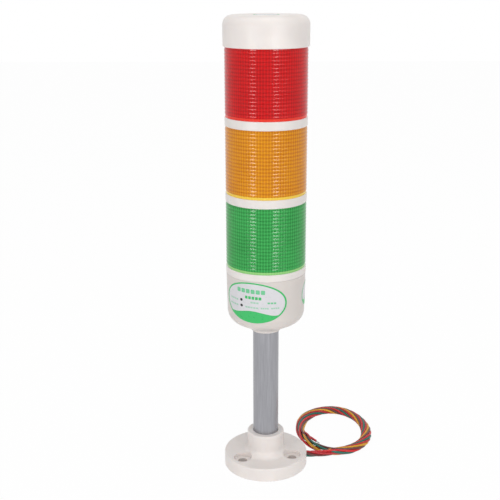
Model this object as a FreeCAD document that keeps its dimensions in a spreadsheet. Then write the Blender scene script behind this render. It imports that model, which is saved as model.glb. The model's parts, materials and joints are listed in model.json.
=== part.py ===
import FreeCAD, Part
import os
import Sketcher
from math import cos, pi, radians, sin, tan

# A three-colour LED stack light on an aluminium pole, with its wires coiled beside the base.
# Millimetres, +Z up, the origin on the floor under the pole; the front is towards -Y.

SIZES = {
    # base: a moulded round foot with a hub for the pole
    "foot_radius": 27.4,
    "foot_thickness": 8.7,
    "foot_edge_round": 1.0,
    "hub_radius": 12.05,
    "hub_height": 23.6,
    "hub_edge_round": 0.9,
    "hub_root_round": 4.5,
    "chamber_radius": 10.5,
    "chamber_height": 9.0,
    "notch_width": 5.8,
    "notch_height": 6.0,
    "notch_angle": 8.0,
    "bolt_circle_radius": 19.0,
    "bolt_count": 3,
    "bolt_first_angle": 97.0,
    "bolt_hole_radius": 3.0,
    "bolt_seat_radius": 5.9,
    "bolt_seat_depth": 2.4,
    # pole: an aluminium tube, turned down and threaded at both ends
    "pole_radius": 8.27,
    "pole_bore_radius": 6.2,
    "pole_length": 82.6,
    "pole_thread_radius": 7.8,
    "pole_lower_thread": 7.5,
    "pole_upper_thread": 9.2,
    "pole_seat_height": 17.0,
    "pole_clearance": 0.15,
    "washer_radius": 11.5,
    "washer_thickness": 1.0,
    "nut_across_flats": 21.0,
    "nut_thickness": 3.2,
    # body: the white bowl under the lenses
    "neck_radius": 9.4,
    "neck_flare": 0.4,
    "neck_height": 1.4,
    "neck_root_round": 2.0,
    "neck_socket_depth": 4.0,
    "bowl_floor_thickness": 2.7,
    "bowl_floor_flat_radius": 12.8,
    "bowl_draft": 0.6,
    "bowl_corner_height": 8.85,
    "bowl_corner_round": 9.0,
    "bowl_rim_radius": 24.95,
    "bowl_rim_height": 39.3,
    "bowl_wall": 1.95,
    "sound_hole_radius": 1.1,
    "sound_hole_circle": 15.6,
    "sound_hole_count": 9,
    # driver board inside the bowl, on three posts
    "post_count": 3,
    "post_first_angle": 60.0,
    "post_inset": 4.7,
    "post_radius": 2.1,
    "post_top": 20.0,
    "post_hole_radius": 1.0,
    "post_hole_depth": 7.0,
    "driver_board_clearance": 1.1,
    "driver_board_hole_radius": 3.6,
    "board_thickness": 1.6,
    "board_screw_head_radius": 2.1,
    "board_screw_head_height": 1.5,
    "board_screw_clearance": 0.2,
    "buzzer_radius": 8.0,
    "buzzer_height": 8.5,
    "buzzer_port_radius": 1.4,
    "buzzer_port_depth": 1.6,
    "buzzer_offset": 12.0,
    "component_gap": 1.0,
    "terminal_width": 13.0,
    "terminal_depth": 7.0,
    "terminal_height": 8.0,
    "capacitor_radius": 2.5,
    "capacitor_height": 9.0,
    "capacitor_row": 12.6,
    "capacitor_left": 5.6,
    "capacitor_right": 1.0,
    "transistor_width": 2.6,
    "transistor_depth": 3.0,
    "transistor_height": 1.3,
    # rings between the sections
    "ring_step": 0.15,
    "ring_edge_bevel": 0.35,
    "ring_height": 5.3,
    "collar_height": 4.6,
    "spigot_inset": 1.85,
    "spigot_wall": 1.5,
    "spigot_height": 3.0,
    "spigot_clearance": 0.1,
    "web_thickness": 2.0,
    "web_depth": 1.65,
    "wire_hole_radius": 2.4,
    "wire_hole_inset": 4.0,
    "wire_hole_angle": 45.0,
    # lenses
    "lens_step": 0.05,
    "lens_height": 41.25,
    "lens_band_depth": 0.25,
    "lens_foot_band": 1.7,
    "lens_top_band": 0.9,
    "lens_wall": 2.3,
    "lens_socket_slack": 0.3,
    "flute_count": 90,
    "flute_depth": 0.4,
    "flute_land": 0.3,
    # LED boards, four upright ones in each section
    "led_board_width": 15.0,
    "led_board_thickness": 1.2,
    "led_board_offset": 9.5,
    "led_board_clearance": 0.1,
    "socket_wall": 1.4,
    "socket_height": 2.4,
    "socket_floor": 0.6,
    "led_size": 4.6,
    "led_height": 1.5,
    "led_rows": 4,
    "led_row_pitch": 8.6,
    "led_column_pitch": 6.4,
    # cap
    "cap_overhang": 0.73,
    "cap_height": 18.1,
    "cap_edge_round": 5.5,
    "cap_roof": 2.4,
    "cap_label_radius": 8.0,
    "cap_label_thickness": 0.4,
    "cap_label_clearance": 0.1,
    "cap_post_radius": 6.2,
    "screw_pocket_radius": 4.3,
    "screw_pocket_depth": 6.0,
    "screw_seat_thickness": 2.6,
    # the long screw that clamps the sections together
    "tie_radius": 2.0,
    "tie_clearance": 0.25,
    "tie_head_radius": 3.8,
    "tie_head_height": 2.8,
    "tie_nut_across_flats": 7.0,
    "tie_nut_thickness": 3.2,
    "tie_overhang": 1.6,
    # stickers on the bowl
    "label_thickness": 0.15,
    "front_label_half_width": 22.0,
    "front_label_half_height": 13.15,
    "front_label_height": 25.6,
    "front_label_angle": -109.3,
    "front_label_tilt": -1.2,
    "side_label_radius": 8.0,
    "side_label_height": 26.2,
    "side_label_angle": -7.0,
    # wires
    "wire_radius": 0.8,
    "wire_bend": 2.5,
    "solder_rise": 6.0,
    "bundle_radius": 2.4,
    "bundle_height": 3.2,
    "bundle_bend": 5.2,
    "lead_run": 6.2,
    "lead_end_x": 40.5,
    "lead_end_y": 5.6,
    "lead_end_height": 2.6,
    "coil_width": 8.2,
    "coil_height": 5.2,
    "coil_half_width": 23.3,
    "coil_half_depth": 31.2,
    "coil_end_radius": 17.0,
    "coil_centre_x": 47.7,
    "coil_centre_y": 39.6,
}


class Size:
    """A size as the sheet's expression for it, with the value that it has now."""

    def __init__(self, text, value):
        self.text = text
        self.value = value

    def joined(self, other, sign, value):
        return Size(f"({self.text} {sign} {text_of(other)})", value)

    def __add__(self, other):
        return self.joined(other, "+", self.value + value_of(other))

    def __sub__(self, other):
        return self.joined(other, "-", self.value - value_of(other))

    def __mul__(self, other):
        return self.joined(other, "*", self.value * value_of(other))

    def __truediv__(self, other):
        return self.joined(other, "/", self.value / value_of(other))

    def __neg__(self):
        return Size(f"(-1 * {self.text})", -self.value)


def value_of(size):
    return size.value if isinstance(size, Size) else size


def text_of(size):
    return size.text if isinstance(size, Size) else repr(size)


document = FreeCAD.newDocument("stack_light")
sheet = document.addObject("Spreadsheet::Sheet", "sizes")
for row, (alias, number) in enumerate(SIZES.items(), 1):
    sheet.set(f"A{row}", alias)
    sheet.set(f"B{row}", str(number))
    sheet.setAlias(f"B{row}", alias)
document.recompute()


def size(alias):
    """The driving size of that name."""
    return Size(f"sizes.{alias}", SIZES[alias])


# ---------------------------------------------------------------- helpers for every sub-part

sub_parts = []


def kept(piece, label, at=(0, 0, 0)):
    """Names a sub-part and puts it in its place."""
    piece.Label = label
    piece.Placement = FreeCAD.Placement(FreeCAD.Vector(*(value_of(c) for c in at)), FreeCAD.Rotation())
    for axis, distance in zip("xyz", at):
        if isinstance(distance, Size):
            piece.setExpression(f"Placement.Base.{axis}", distance.text)
    sub_parts.append(piece)
    return piece


def add_sketch(body, plane, name, height=0):
    """An empty sketch on one of the body's own origin planes, or that far from it."""
    sketch = body.newObject("Sketcher::SketchObject", name)
    support = next(f for f in body.Origin.OriginFeatures if f.Role == plane)
    sketch.AttachmentSupport = (support, [""])
    sketch.MapMode = "FlatFace"
    sketch.AttachmentOffset.Base.z = value_of(height)
    if isinstance(height, Size):
        sketch.setExpression("AttachmentOffset.Base.z", height.text)
    return sketch


def hold(sketch, kind, places, distance):
    """Adds a dimension to a sketch and ties it to the sheet."""
    number = sketch.addConstraint(Sketcher.Constraint(kind, *places, value_of(distance)))
    if isinstance(distance, Size):
        sketch.setExpression(f"Constraints[{number}]", distance.text)


def pin(sketch, line, point, x, y):
    """Holds an end of a line at its place from the sketch's origin."""
    for kind, axis, distance in (("DistanceX", -2, x), ("DistanceY", -1, y)):
        if value_of(distance) == 0:
            sketch.addConstraint(Sketcher.Constraint("PointOnObject", line, point, axis))
        else:
            hold(sketch, kind, (-1, 1, line, point), distance)


def draw_outline(sketch, corners):
    """A closed outline of straight lines with each corner held from the sketch's origin."""
    points = [FreeCAD.Vector(value_of(x), value_of(y), 0) for x, y in corners]
    first = sketch.GeometryCount
    count = len(points)
    for i in range(count):
        sketch.addGeometry(Part.LineSegment(points[i], points[(i + 1) % count]), False)
    for i in range(count):
        sketch.addConstraint(Sketcher.Constraint("Coincident", first + i, 2, first + (i + 1) % count, 1))
    for i, (x, y) in enumerate(corners):
        pin(sketch, first + i, 1, x, y)


def draw_circle(sketch, radius, away=0, angle=0):
    """A circle whose centre is that far from the sketch's origin, in that direction in degrees."""
    turn = radians(value_of(angle))
    centre = FreeCAD.Vector(value_of(away) * cos(turn), value_of(away) * sin(turn), 0)
    circle = sketch.addGeometry(Part.Circle(centre, FreeCAD.Vector(0, 0, 1), value_of(radius)), False)
    hold(sketch, "Radius", (circle,), radius)
    if value_of(away) == 0:
        sketch.addConstraint(Sketcher.Constraint("Coincident", circle, 3, -1, 1))
        return
    arm = sketch.addGeometry(Part.LineSegment(FreeCAD.Vector(0, 0, 0), centre), True)
    sketch.addConstraint(Sketcher.Constraint("Coincident", arm, 1, -1, 1))
    sketch.addConstraint(Sketcher.Constraint("Coincident", arm, 2, circle, 3))
    hold(sketch, "Distance", (arm,), away)
    number = sketch.addConstraint(Sketcher.Constraint("Angle", -1, 1, arm, 1, turn))
    if isinstance(angle, Size):
        sketch.setExpression(f"Constraints[{number}]", f"{angle.text} * 1 deg")


def draw_bar(sketch, near, far, half_width):
    """A rectangle across the sketch's X axis, from near to far along it."""
    a, b, w = value_of(near), value_of(far), value_of(half_width)
    corners = [(a, w), (b, w), (b, -w), (a, -w)]
    first = sketch.GeometryCount
    for i in range(4):
        start = FreeCAD.Vector(*corners[i], 0)
        end = FreeCAD.Vector(*corners[(i + 1) % 4], 0)
        sketch.addGeometry(Part.LineSegment(start, end), False)
    for i in range(4):
        sketch.addConstraint(Sketcher.Constraint("Coincident", first + i, 2, first + (i + 1) % 4, 1))
    sketch.addConstraint(Sketcher.Constraint("Horizontal", first))
    sketch.addConstraint(Sketcher.Constraint("Symmetric", first, 1, first + 2, 2, -1))
    sketch.addConstraint(Sketcher.Constraint("Symmetric", first + 1, 1, first + 1, 2, -1))
    pin(sketch, first, 1, near, half_width)
    hold(sketch, "DistanceX", (-1, 1, first + 1, 1), far)


def turned(name, corners):
    """A body turned about its Z axis from an outline of (radius, height) corners."""
    body = document.addObject("PartDesign::Body", name)
    sketch = add_sketch(body, "XZ_Plane", f"{name}_outline")
    draw_outline(sketch, corners)
    solid = body.newObject("PartDesign::Revolution", f"{name}_turn")
    solid.Profile = sketch
    solid.ReferenceAxis = (sketch, ["V_Axis"])
    solid.Angle = 360.0
    return body


def padded(body, sketch, height, downwards=False):
    pad = body.newObject("PartDesign::Pad", f"{sketch.Name}_pad")
    pad.Profile = sketch
    pad.Length = value_of(height)
    pad.setExpression("Length", text_of(height))
    pad.Reversed = downwards
    return pad


def pocketed(body, sketch, depth=None, upwards=False):
    """Cuts a sketch out of the body, right through it where no depth is given."""
    pocket = body.newObject("PartDesign::Pocket", f"{sketch.Name}_cut")
    pocket.Profile = sketch
    pocket.Reversed = upwards
    if depth is None:
        pocket.Type = "ThroughAll"
    else:
        pocket.Length = value_of(depth)
        pocket.setExpression("Length", text_of(depth))
    return pocket


def repeated(body, feature, sketch, count):
    """Repeats a feature evenly round the body's Z axis."""
    pattern = body.newObject("PartDesign::PolarPattern", f"{feature.Name}_round")
    pattern.Originals = [feature]
    pattern.Axis = (sketch, ["N_Axis"])
    pattern.Angle = 360.0
    pattern.Occurrences = int(value_of(count))
    if isinstance(count, Size):
        pattern.setExpression("Occurrences", count.text)
    body.Tip = pattern
    return pattern


def edges_at(shape, places):
    """The names of a shape's circular edges about the Z axis at these (radius, height) places."""
    names = []
    for number, edge in enumerate(shape.Edges, 1):
        if not isinstance(edge.Curve, Part.Circle):
            continue
        centre = edge.Curve.Center
        for radius, height in places:
            off = abs(centre.x) + abs(centre.y) + abs(centre.z - value_of(height))
            if off + abs(edge.Curve.Radius - value_of(radius)) < 1e-4:
                names.append(f"Edge{number}")
    return names


def rounded(body, radius, places):
    """Rounds the body's circular edges at these places."""
    document.recompute()
    base = body.Tip
    fillet = body.newObject("PartDesign::Fillet", f"{body.Name}_round_{len(body.Group)}")
    fillet.Base = (base, edges_at(base.Shape, places))
    fillet.Radius = value_of(radius)
    fillet.setExpression("Radius", text_of(radius))
    body.Tip = fillet


def bevelled(body, width, places):
    """Breaks the body's circular edges at these places with a narrow bevel."""
    document.recompute()
    base = body.Tip
    chamfer = body.newObject("PartDesign::Chamfer", f"{body.Name}_bevel_{len(body.Group)}")
    chamfer.Base = (base, edges_at(base.Shape, places))
    chamfer.Size = value_of(width)
    chamfer.setExpression("Size", text_of(width))
    body.Tip = chamfer


def hexagon_sketch(body, name, across_flats):
    """A six-sided outline about the origin."""
    sketch = add_sketch(body, "XY_Plane", name)
    corner = value_of(across_flats) / (2 * cos(pi / 6))
    circle = Part.Circle(FreeCAD.Vector(0, 0, 0), FreeCAD.Vector(0, 0, 1), corner)
    points = [FreeCAD.Vector(corner * cos(i * pi / 3), corner * sin(i * pi / 3), 0) for i in range(6)]
    for i in range(6):
        sketch.addGeometry(Part.LineSegment(points[i], points[(i + 1) % 6]), False)
    ring = sketch.addGeometry(circle, True)
    sketch.addConstraint(Sketcher.Constraint("Coincident", ring, 3, -1, 1))
    for i in range(6):
        sketch.addConstraint(Sketcher.Constraint("Coincident", i, 2, (i + 1) % 6, 1))
        sketch.addConstraint(Sketcher.Constraint("PointOnObject", i, 1, ring))
    for i in range(5):
        sketch.addConstraint(Sketcher.Constraint("Equal", i, i + 1))
    sketch.addConstraint(Sketcher.Constraint("PointOnObject", 0, 1, -1))
    hold(sketch, "Distance", (-1, 1, 1), across_flats / 2)
    return sketch


def group(label, members, at=(0, 0, 0)):
    """Several separate solids as one sub-part."""
    compound = document.addObject("Part::Compound", label)
    compound.Links = members
    return kept(compound, label, at)


def box(name, corner, extent, turn=0):
    """A block with its low corner there, then turned about the vertical by quarter turns."""
    block = document.addObject("Part::Box", name)
    for side, length in zip(("Length", "Width", "Height"), extent):
        setattr(block, side, value_of(length))
        block.setExpression(side, text_of(length))
    x, y, z = corner
    x, y = ((x, y), (-y, x), (-x, -y), (y, -x))[turn]
    place = (x, y, z)
    rotation = FreeCAD.Rotation(FreeCAD.Vector(0, 0, 1), 90 * turn)
    block.Placement = FreeCAD.Placement(FreeCAD.Vector(*(value_of(c) for c in place)), rotation)
    for axis, distance in zip("xyz", place):
        block.setExpression(f"Placement.Base.{axis}", text_of(distance))
    return block


def cylinder(name, radius, height, at):
    rod = document.addObject("Part::Cylinder", name)
    rod.setExpression("Radius", text_of(radius))
    rod.setExpression("Height", text_of(height))
    for axis, distance in zip("xyz", at):
        rod.setExpression(f"Placement.Base.{axis}", text_of(distance))
    return rod


# ---------------------------------------------------------------- levels, from the floor up

body_level = size("pole_seat_height") + size("pole_length") - size("neck_socket_depth")
collar_level = body_level + size("bowl_rim_height") - size("spigot_height")
lens_step = size("lens_height") + size("ring_height")
green_level = body_level + size("bowl_rim_height") + size("collar_height")
amber_level = green_level + lens_step
red_level = amber_level + lens_step
cap_level = red_level + size("lens_height") - size("spigot_height")

# ---------------------------------------------------------------- radii that follow the bowl's rim

bowl_corner_radius = size("bowl_rim_radius") - size("bowl_draft")
bowl_inner_radius = bowl_corner_radius - size("bowl_wall")
neck_top_radius = size("neck_radius") + size("neck_flare")
driver_board_radius = bowl_inner_radius - size("driver_board_clearance")
post_circle = driver_board_radius - size("post_inset")
ring_radius = size("bowl_rim_radius") + size("ring_step")
spigot_radius = size("bowl_rim_radius") - size("spigot_inset")
spigot_bore = spigot_radius - size("spigot_wall")
spigot_socket = spigot_radius + size("spigot_clearance")
wire_hole_circle = spigot_bore - size("wire_hole_inset")
lens_radius = size("bowl_rim_radius") + size("lens_step")
lens_band_radius = lens_radius - size("lens_band_depth")
lens_bore_radius = lens_radius - size("lens_wall")
cap_radius = ring_radius + size("cap_overhang")
tie_hole = size("tie_radius") + size("tie_clearance")


# ---------------------------------------------------------------- base and pole


def make_base():
    bore = size("pole_radius") + size("pole_clearance")
    body = turned(
        "base_foot",
        [
            (size("pole_thread_radius"), size("chamber_height")),
            (size("chamber_radius"), size("chamber_height")),
            (size("chamber_radius"), 0),
            (size("foot_radius"), 0),
            (size("foot_radius"), size("foot_thickness")),
            (size("hub_radius"), size("foot_thickness")),
            (size("hub_radius"), size("hub_height")),
            (bore, size("hub_height")),
            (bore, size("pole_seat_height")),
            (size("pole_thread_radius"), size("pole_seat_height")),
        ],
    )
    rounded(body, size("hub_root_round"), [(size("hub_radius"), size("foot_thickness"))])
    rounded(body, size("hub_edge_round"), [(size("hub_radius"), size("hub_height"))])
    rounded(body, size("foot_edge_round"), [(size("foot_radius"), size("foot_thickness"))])
    seat_floor = size("foot_thickness") - size("bolt_seat_depth")
    seat = add_sketch(body, "XY_Plane", "bolt_seat", seat_floor)
    draw_circle(seat, size("bolt_seat_radius"), size("bolt_circle_radius"), size("bolt_first_angle"))
    seat_cut = pocketed(body, seat, size("hub_root_round") + size("bolt_seat_depth"), True)
    repeated(body, seat_cut, seat, size("bolt_count"))
    hole = add_sketch(body, "XY_Plane", "bolt_hole", seat_floor)
    draw_circle(hole, size("bolt_hole_radius"), size("bolt_circle_radius"), size("bolt_first_angle"))
    repeated(body, pocketed(body, hole, seat_floor), hole, size("bolt_count"))
    notch = add_sketch(body, "XY_Plane", "cable_notch")
    notch.setExpression("AttachmentOffset.Rotation.Angle", f"{size('notch_angle').text} * 1 deg")
    half_notch = size("notch_width") / 2
    draw_bar(notch, size("chamber_radius") - half_notch, size("foot_radius") + 1, half_notch)
    pocketed(body, notch, size("notch_height"), True)
    kept(body, "base_foot")


def make_pole():
    length = size("pole_lower_thread") + size("pole_length")
    body = turned(
        "pole_tube",
        [
            (size("pole_bore_radius"), 0),
            (size("pole_thread_radius") - size("pole_clearance"), 0),
            (size("pole_thread_radius") - size("pole_clearance"), size("pole_lower_thread")),
            (size("pole_radius"), size("pole_lower_thread")),
            (size("pole_radius"), length),
            (size("pole_thread_radius") - size("pole_clearance"), length),
            (size("pole_thread_radius") - size("pole_clearance"), length + size("pole_upper_thread")),
            (size("pole_bore_radius"), length + size("pole_upper_thread")),
        ],
    )
    kept(body, "pole_tube", (0, 0, size("pole_seat_height") - size("pole_lower_thread")))


def make_nut(label, across_flats, thickness, hole, at):
    body = document.addObject("PartDesign::Body", label)
    padded(body, hexagon_sketch(body, f"{label}_outline", across_flats), thickness)
    bore = add_sketch(body, "XY_Plane", f"{label}_bore")
    draw_circle(bore, hole)
    pocketed(body, bore, thickness, True)
    kept(body, label, at)


def bowl_floor(radius):
    """The height of the bowl's sloping inner floor at a radius, above the neck's end."""
    rise = size("bowl_corner_height") - size("neck_height")
    run = bowl_corner_radius - neck_top_radius
    return size("neck_height") + size("bowl_floor_thickness") + (radius - neck_top_radius) * rise / run


def make_pole_fixing():
    floor = body_level + bowl_floor(size("bowl_floor_flat_radius"))
    washer = turned(
        "pole_washer",
        [
            (size("pole_thread_radius"), 0),
            (size("washer_radius"), 0),
            (size("washer_radius"), size("washer_thickness")),
            (size("pole_thread_radius"), size("washer_thickness")),
        ],
    )
    kept(washer, "pole_washer", (0, 0, floor))
    on_washer = (0, 0, floor + size("washer_thickness"))
    thread = size("pole_thread_radius")
    make_nut("pole_nut", size("nut_across_flats"), size("nut_thickness"), thread, on_washer)


# ---------------------------------------------------------------- body


def make_body():
    rebate_floor = size("bowl_rim_height") - size("spigot_height") - size("lens_socket_slack")
    body = turned(
        "body_housing",
        [
            (size("pole_thread_radius"), size("neck_socket_depth")),
            (size("pole_radius") + size("pole_clearance"), size("neck_socket_depth")),
            (size("pole_radius") + size("pole_clearance"), 0),
            (size("neck_radius"), 0),
            (neck_top_radius, size("neck_height")),
            (bowl_corner_radius, size("bowl_corner_height")),
            (size("bowl_rim_radius"), size("bowl_rim_height")),
            (spigot_socket, size("bowl_rim_height")),
            (spigot_socket, rebate_floor),
            (size("bowl_rim_radius") - size("bowl_wall") - size("spigot_clearance"), rebate_floor),
            (bowl_inner_radius, bowl_floor(bowl_inner_radius)),
            (size("bowl_floor_flat_radius"), bowl_floor(size("bowl_floor_flat_radius"))),
            (size("pole_thread_radius"), bowl_floor(size("bowl_floor_flat_radius"))),
        ],
    )
    rounded(body, size("bowl_corner_round"), [(bowl_corner_radius, size("bowl_corner_height"))])
    inner_corner = (bowl_inner_radius, bowl_floor(bowl_inner_radius))
    rounded(body, size("bowl_corner_round") - size("bowl_wall"), [inner_corner])
    rounded(body, size("neck_root_round"), [(neck_top_radius, size("neck_height"))])
    post = add_sketch(body, "XY_Plane", "board_post", size("post_top"))
    draw_circle(post, size("post_radius"), post_circle, size("post_first_angle"))
    foot = bowl_floor(post_circle - size("post_radius")) - size("spigot_clearance")
    repeated(body, padded(body, post, size("post_top") - foot, True), post, size("post_count"))
    hole = add_sketch(body, "XY_Plane", "post_hole", size("post_top"))
    draw_circle(hole, size("post_hole_radius"), post_circle, size("post_first_angle"))
    repeated(body, pocketed(body, hole, size("post_hole_depth")), hole, size("post_count"))
    sound = add_sketch(body, "XY_Plane", "sound_hole")
    draw_circle(sound, size("sound_hole_radius"), size("sound_hole_circle"), 0)
    sound_cut = pocketed(body, sound, bowl_floor(bowl_inner_radius), True)
    repeated(body, sound_cut, sound, size("sound_hole_count"))
    kept(body, "body_housing", (0, 0, body_level))


def make_driver():
    board_level = body_level + size("post_top")
    top = board_level + size("board_thickness")
    board = document.addObject("PartDesign::Body", "driver_board")
    outline = add_sketch(board, "XY_Plane", "driver_outline")
    draw_circle(outline, driver_board_radius)
    draw_circle(outline, size("driver_board_hole_radius"))
    padded(board, outline, size("board_thickness"))
    hole = add_sketch(board, "XY_Plane", "driver_screw_hole")
    screw_way = size("post_hole_radius") + size("board_screw_clearance")
    draw_circle(hole, screw_way, post_circle, size("post_first_angle"))
    repeated(board, pocketed(board, hole, size("board_thickness"), True), hole, size("post_count"))
    kept(board, "driver_board", (0, 0, board_level))

    screw_head_top = size("post_hole_depth") + size("board_screw_head_height")
    for i in range(SIZES["post_count"]):
        angle = radians(SIZES["post_first_angle"] + 360 * i / SIZES["post_count"])
        x, y = post_circle * cos(angle), post_circle * sin(angle)
        screw = turned(
            f"board_screw_{i + 1}",
            [
                (0, 0),
                (size("post_hole_radius"), 0),
                (size("post_hole_radius"), size("post_hole_depth")),
                (size("board_screw_head_radius"), size("post_hole_depth")),
                (size("board_screw_head_radius"), screw_head_top),
                (0, screw_head_top),
            ],
        )
        kept(screw, f"board_screw_{i + 1}", (x, y, top - size("post_hole_depth")))

    buzzer = turned(
        "buzzer",
        [
            (0, 0),
            (size("buzzer_radius"), 0),
            (size("buzzer_radius"), size("buzzer_height")),
            (size("buzzer_port_radius"), size("buzzer_height")),
            (size("buzzer_port_radius"), size("buzzer_height") - size("buzzer_port_depth")),
            (0, size("buzzer_height") - size("buzzer_port_depth")),
        ],
    )
    kept(buzzer, "buzzer", (size("buzzer_offset"), 0, top))

    terminal = (size("terminal_depth"), size("terminal_width"), size("terminal_height"))
    terminal_x = size("board_screw_head_radius") + size("component_gap") - post_circle
    members = [box("wire_terminal", (terminal_x, size("terminal_width") / -2, top), terminal)]
    row = size("capacitor_row")
    left = -size("capacitor_left")
    for i, (x, y) in enumerate(((left, row), (size("capacitor_right"), row), (left, -row))):
        name = f"capacitor_{i + 1}"
        members.append(cylinder(name, size("capacitor_radius"), size("capacitor_height"), (x, y, top)))
    transistor = (size("transistor_width"), size("transistor_depth"), size("transistor_height"))
    for i in range(2):
        x = size("capacitor_radius") + size("component_gap") - size("capacitor_left")
        x = x + (size("transistor_width") + size("component_gap")) * i
        y = -row - size("transistor_depth") / 2
        members.append(box(f"transistor_{i + 1}", (x, y, top), transistor))
    group("board_components", members)


# ---------------------------------------------------------------- sections


def add_board_socket(body, name, level, height, hanging):
    """Four slotted walls that hold the ends of the upright boards: a square frame standing on a level."""
    half_wall = size("led_board_thickness") / 2 + size("led_board_clearance") + size("socket_wall")
    outer = size("led_board_offset") + half_wall
    inner = size("led_board_offset") - half_wall
    wall = add_sketch(body, "XY_Plane", f"{name}_wall", level)
    draw_bar(wall, inner, outer, outer)
    repeated(body, padded(body, wall, height, hanging), wall, 4)
    end = level - height if hanging else level + height
    slot = add_sketch(body, "XY_Plane", f"{name}_slot", end)
    half_slot = size("led_board_width") / 2 + size("led_board_clearance")
    draw_bar(slot, inner + size("socket_wall"), outer - size("socket_wall"), half_slot)
    repeated(body, pocketed(body, slot, size("socket_height") - size("socket_floor"), hanging), slot, 4)


def add_wire_holes(body, name, level):
    hole = add_sketch(body, "XY_Plane", f"{name}_wire_hole", level)
    draw_circle(hole, size("wire_hole_radius"), wire_hole_circle, size("wire_hole_angle"))
    repeated(body, pocketed(body, hole, size("web_thickness")), hole, 4)


def make_ring(label, height, level, lower_socket):
    """A white ring with a spigot above and below, and a web that carries the boards' sockets."""
    band_foot = size("spigot_height")
    band_top = band_foot + height
    end = band_top + size("spigot_height")
    web_top = band_top - size("web_depth")
    web_foot = web_top - size("web_thickness")
    body = turned(
        label,
        [
            (tie_hole, web_foot),
            (spigot_bore, web_foot),
            (spigot_bore, 0),
            (spigot_radius, 0),
            (spigot_radius, band_foot),
            (ring_radius, band_foot),
            (ring_radius, band_top),
            (spigot_radius, band_top),
            (spigot_radius, end),
            (spigot_bore, end),
            (spigot_bore, web_top),
            (tie_hole, web_top),
        ],
    )
    bevelled(body, size("ring_edge_bevel"), [(ring_radius, band_foot), (ring_radius, band_top)])
    add_board_socket(body, f"{label}_upper", web_top, size("socket_height"), False)
    if lower_socket:
        add_board_socket(body, f"{label}_lower", web_foot, size("socket_height"), True)
    add_wire_holes(body, label, web_top)
    kept(body, label, (0, 0, level))


def make_lens(label, level):
    """A moulded lens: a smooth band at each end, and upright flutes round the inside."""
    socket_depth = size("spigot_height") + size("lens_socket_slack")
    body = turned(
        label,
        [
            (spigot_socket, 0),
            (lens_band_radius, 0),
            (lens_band_radius, size("lens_foot_band")),
            (lens_radius, size("lens_foot_band")),
            (lens_radius, size("lens_height") - size("lens_top_band")),
            (lens_band_radius, size("lens_height") - size("lens_top_band")),
            (lens_band_radius, size("lens_height")),
            (spigot_socket, size("lens_height")),
            (spigot_socket, size("lens_height") - socket_depth),
            (lens_bore_radius, size("lens_height") - socket_depth),
            (lens_bore_radius, socket_depth),
            (spigot_socket, socket_depth),
        ],
    )
    flute = add_sketch(body, "XY_Plane", f"{label}_flute")
    mouth = lens_bore_radius * (pi / SIZES["flute_count"]) - size("flute_land") / 2
    draw_flute(flute, lens_bore_radius, size("flute_depth"), mouth)
    repeated(body, pocketed(body, flute, size("lens_height"), True), flute, size("flute_count"))
    kept(body, label, (0, 0, level))


def draw_flute(sketch, bore, depth, half_mouth):
    """A groove of three corners, open to the bore, with its root on the sketch's X axis."""
    root = bore + depth
    inside = bore - depth
    spread = half_mouth * 2
    corners = [
        (value_of(root), 0),
        (value_of(inside), value_of(spread)),
        (value_of(inside), -value_of(spread)),
    ]
    for i in range(3):
        start = FreeCAD.Vector(*corners[i], 0)
        end = FreeCAD.Vector(*corners[(i + 1) % 3], 0)
        sketch.addGeometry(Part.LineSegment(start, end), False)
    for i in range(3):
        sketch.addConstraint(Sketcher.Constraint("Coincident", i, 2, (i + 1) % 3, 1))
    sketch.addConstraint(Sketcher.Constraint("Symmetric", 1, 1, 1, 2, -1))
    pin(sketch, 0, 1, root, 0)
    pin(sketch, 1, 1, inside, spread)


def make_led_section(colour, level):
    """Four upright boards round the middle of a section, with two rows of LEDs on each."""
    socket = size("web_depth") - size("socket_floor")
    foot = level - socket
    height = size("lens_height") + socket * 2 - size("led_board_clearance")
    near = size("led_board_offset") - size("led_board_thickness") / 2
    half = size("led_board_width") / 2
    face = size("led_board_offset") + size("led_board_thickness") / 2
    lowest = level + size("lens_height") / 2 - size("led_row_pitch") * ((SIZES["led_rows"] - 1) / 2)
    boards = []
    leds = []
    for turn in range(4):
        extent = (size("led_board_thickness"), size("led_board_width"), height)
        boards.append(box(f"{colour}_board_{turn + 1}", (near, -half, foot), extent, turn))
        for row in range(SIZES["led_rows"]):
            for side in (-0.5, 0.5):
                y = size("led_column_pitch") * side - size("led_size") / 2
                z = lowest + size("led_row_pitch") * row - size("led_size") / 2
                extent = (size("led_height"), size("led_size"), size("led_size"))
                leds.append(box(f"{colour}_led_{len(leds) + 1}", (face, y, z), extent, turn))
    group(f"{colour}_led_boards", boards)
    group(f"{colour}_leds", leds)


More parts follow.
